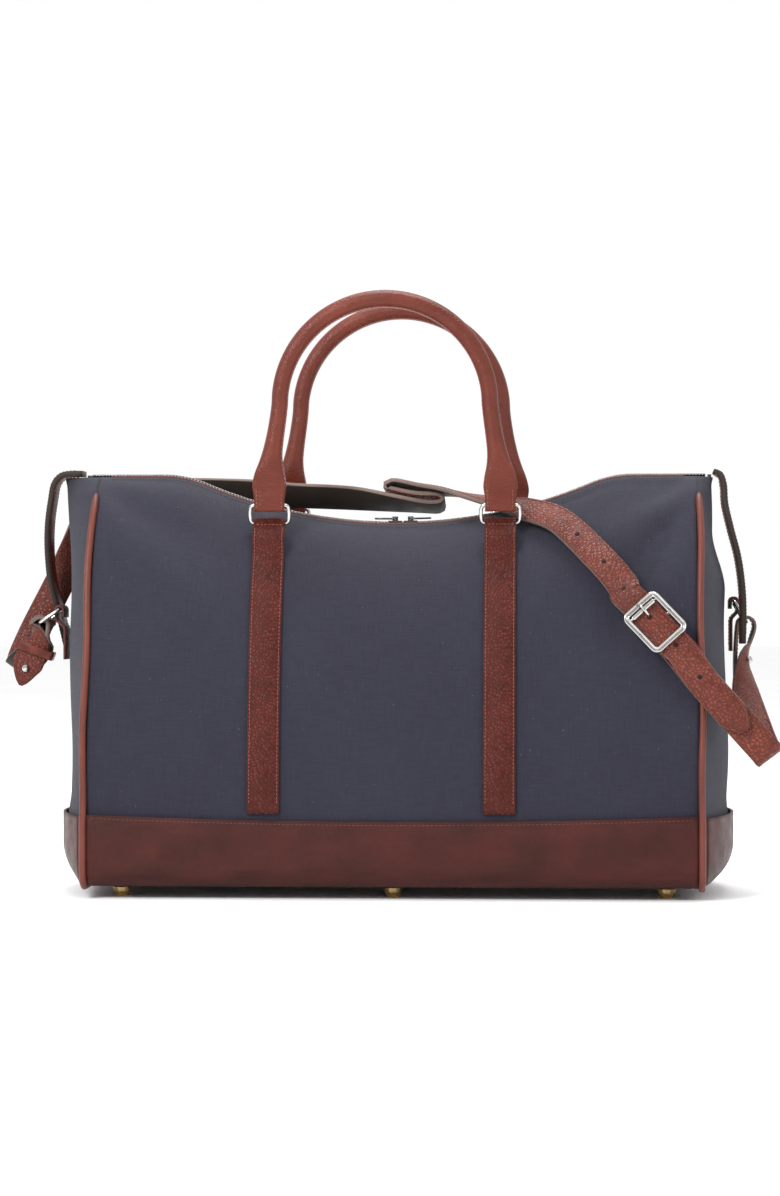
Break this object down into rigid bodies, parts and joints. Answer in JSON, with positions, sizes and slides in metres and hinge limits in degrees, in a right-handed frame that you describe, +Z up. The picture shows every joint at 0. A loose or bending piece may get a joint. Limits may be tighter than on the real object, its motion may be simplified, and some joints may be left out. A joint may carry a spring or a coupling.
{
  "type": "weekender bag",
  "caption": "Canvas weekender bag with a leather base, rolled handles on wire rings, an arched zip and a buckled leather shoulder strap laid over the top.",
  "frame": {"origin": "centre of the bag's outline, straps included, on the plane that its feet stand on", "axes": "+X along the bag to the right as its front is seen, +Y from the front to the back, +Z up"},
  "size_m": [0.6266, 0.2312, 0.4795],
  "materials": {
    "canvas_navy": "waxed cotton canvas, plain weave, dark grey-blue, matt",
    "base_leather": "dark red-brown pull-up leather, scuffed, half matt",
    "trim_leather": "red-brown vegetable-tanned leather, smooth, half matt",
    "strap_leather": "lighter rose-brown leather strap with stitched edges, half matt",
    "lining_cloth": "plain brown cotton twill, matt",
    "board": "dark fibre board, matt",
    "zip_cloth": "black woven zip tape, matt",
    "nickel": "nickel-plated steel, lightly brushed",
    "dark_nickel": "dark nickel plate, lightly worn",
    "brass": "turned brass, lightly aged"
  },
  "bodies": {
    "bag": {"front_panel": "canvas_navy", "back_panel": "canvas_navy", "left_end_panel": "canvas_navy", "right_end_panel": "canvas_navy", "base_leather": "base_leather", "left_end_leather": "base_leather", "right_end_leather": "base_leather", "left_piping": "trim_leather", "right_piping": "trim_leather", "base_board": "board", "lining": "lining_cloth", "foot_front_left": "brass", "foot_front_middle": "brass", "foot_front_right": "brass", "foot_back_left": "brass", "foot_back_middle": "brass", "foot_back_right": "brass", "front_zip_tape": "zip_cloth", "back_zip_tape": "zip_cloth", "zip_chain": "dark_nickel", "left_zip_stop": "dark_nickel", "right_zip_stop": "dark_nickel", "front_left_chape": "trim_leather", "front_right_chape": "trim_leather", "back_left_chape": "trim_leather", "back_right_chape": "trim_leather", "shoulder_strap": "strap_leather", "buckle_strap": "strap_leather", "buckle_frame": "nickel", "left_side_chape": "trim_leather", "right_side_chape": "trim_leather", "left_side_ring": "nickel", "strap_keeper": "trim_leather", "left_strap_stud": "nickel", "right_strap_stud": "nickel"},
    "front_rings": {"front_left_ring": "nickel", "front_right_ring": "nickel"},
    "front_handle_arch": {"front_handle": "trim_leather"},
    "back_rings": {"back_left_ring": "nickel", "back_right_ring": "nickel"},
    "back_handle_arch": {"back_handle": "trim_leather"},
    "left_slider": {"left_zip_slider": "dark_nickel"},
    "right_slider": {"right_zip_slider": "dark_nickel"},
    "left_pull": {"left_zip_pull": "dark_nickel"},
    "right_pull": {"right_zip_pull": "dark_nickel"},
    "roller": {"buckle_roller": "nickel"},
    "prong": {"buckle_prong": "nickel"},
    "right_ring_swing": {"right_side_ring": "nickel"},
    "left_tab": {"left_zip_tab": "strap_leather"},
    "right_tab": {"right_zip_tab": "strap_leather"}
  },
  "joints": [
    {"name": "front_rings_swing", "type": "hinge", "parent": "bag", "child": "front_rings", "pos_m": [0.00885, -0.0515, 0.2947], "axis": [1, 0, 0], "range_deg": [0, 75]},
    {"name": "front_handle_swing", "type": "hinge", "parent": "front_rings", "child": "front_handle_arch", "pos_m": [0.00885, -0.0545, 0.3086], "axis": [1, 0, 0], "range_deg": [-14, 50]},
    {"name": "back_rings_swing", "type": "hinge", "parent": "bag", "child": "back_rings", "pos_m": [0.00885, 0.0515, 0.2947], "axis": [-1, 0, 0], "range_deg": [0, 75]},
    {"name": "back_handle_swing", "type": "hinge", "parent": "back_rings", "child": "back_handle_arch", "pos_m": [0.00885, 0.0545, 0.3086], "axis": [-1, 0, 0], "range_deg": [-14, 50]},
    {"name": "left_slider_travel", "type": "hinge", "parent": "bag", "child": "left_slider", "pos_m": [0.00885, 0, 0.6955], "axis": [0, 1, 0], "range_deg": [0, 21.4]},
    {"name": "right_slider_travel", "type": "hinge", "parent": "bag", "child": "right_slider", "pos_m": [0.00885, 0, 0.6955], "axis": [0, -1, 0], "range_deg": [0, 20.2]},
    {"name": "left_pull_flip", "type": "hinge", "parent": "left_slider", "child": "left_pull", "pos_m": [0.00657, 0, 0.29931], "axis": [0, 1, 0], "range_deg": [0, 95]},
    {"name": "right_pull_flip", "type": "hinge", "parent": "right_slider", "child": "right_pull", "pos_m": [0.01905, 0, 0.29943], "axis": [0, -1, 0], "range_deg": [0, 60]},
    {"name": "roller_spin", "type": "hinge", "parent": "bag", "child": "roller", "pos_m": [0.20425, -0.10404, 0.22584], "axis": [0.7343, 0.1691, 0.6574], "continuous": true},
    {"name": "prong_lift", "type": "hinge", "parent": "bag", "child": "prong", "pos_m": [0.21335, -0.09599, 0.21361], "axis": [0.7343, 0.1691, 0.6574], "range_deg": [0, 3]},
    {"name": "right_side_ring_swing", "type": "hinge", "parent": "bag", "child": "right_ring_swing", "pos_m": [0.28035, 0.013, 0.2322], "axis": [0, 1, 0], "range_deg": [0, 5]},
    {"name": "left_tab_swing", "type": "hinge", "parent": "bag", "child": "left_tab", "pos_m": [-0.24715, 0, 0.3352], "axis": [0, 1, 0], "range_deg": [0, 2]},
    {"name": "right_tab_swing", "type": "hinge", "parent": "bag", "child": "right_tab", "pos_m": [0.26485, 0, 0.3352], "axis": [0, -1, 0], "range_deg": [0, 100]}
  ]
}
